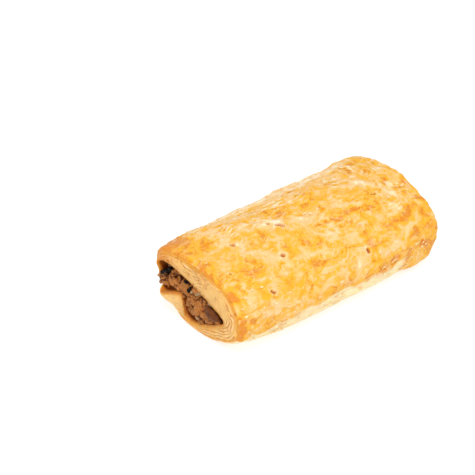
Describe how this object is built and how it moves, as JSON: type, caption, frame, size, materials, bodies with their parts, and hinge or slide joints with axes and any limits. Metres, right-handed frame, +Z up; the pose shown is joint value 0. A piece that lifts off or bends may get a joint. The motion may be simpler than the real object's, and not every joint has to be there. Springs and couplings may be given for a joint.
{
  "type": "savory pastry roll",
  "caption": "Baked puff pastry roll with a domed golden crust, pricked on top, open at both ends on a minced savory filling that runs through it.",
  "frame": {"origin": "middle of the flat underside, at the centre of the bounding box in X and Y", "axes": "+X along the roll from the near mouth to the far one, -Y towards the front of the roll, +Z up"},
  "size_m": [0.1496, 0.0844, 0.0412],
  "materials": {
    "crust": "golden baked puff pastry with an egg glaze, satin, paler and drier on the cut ends",
    "mince": "cooked minced meat with onion, moist, rough"
  },
  "bodies": {
    "root": {"pastry": "crust", "filling": "mince"}
  },
  "joints": []
}
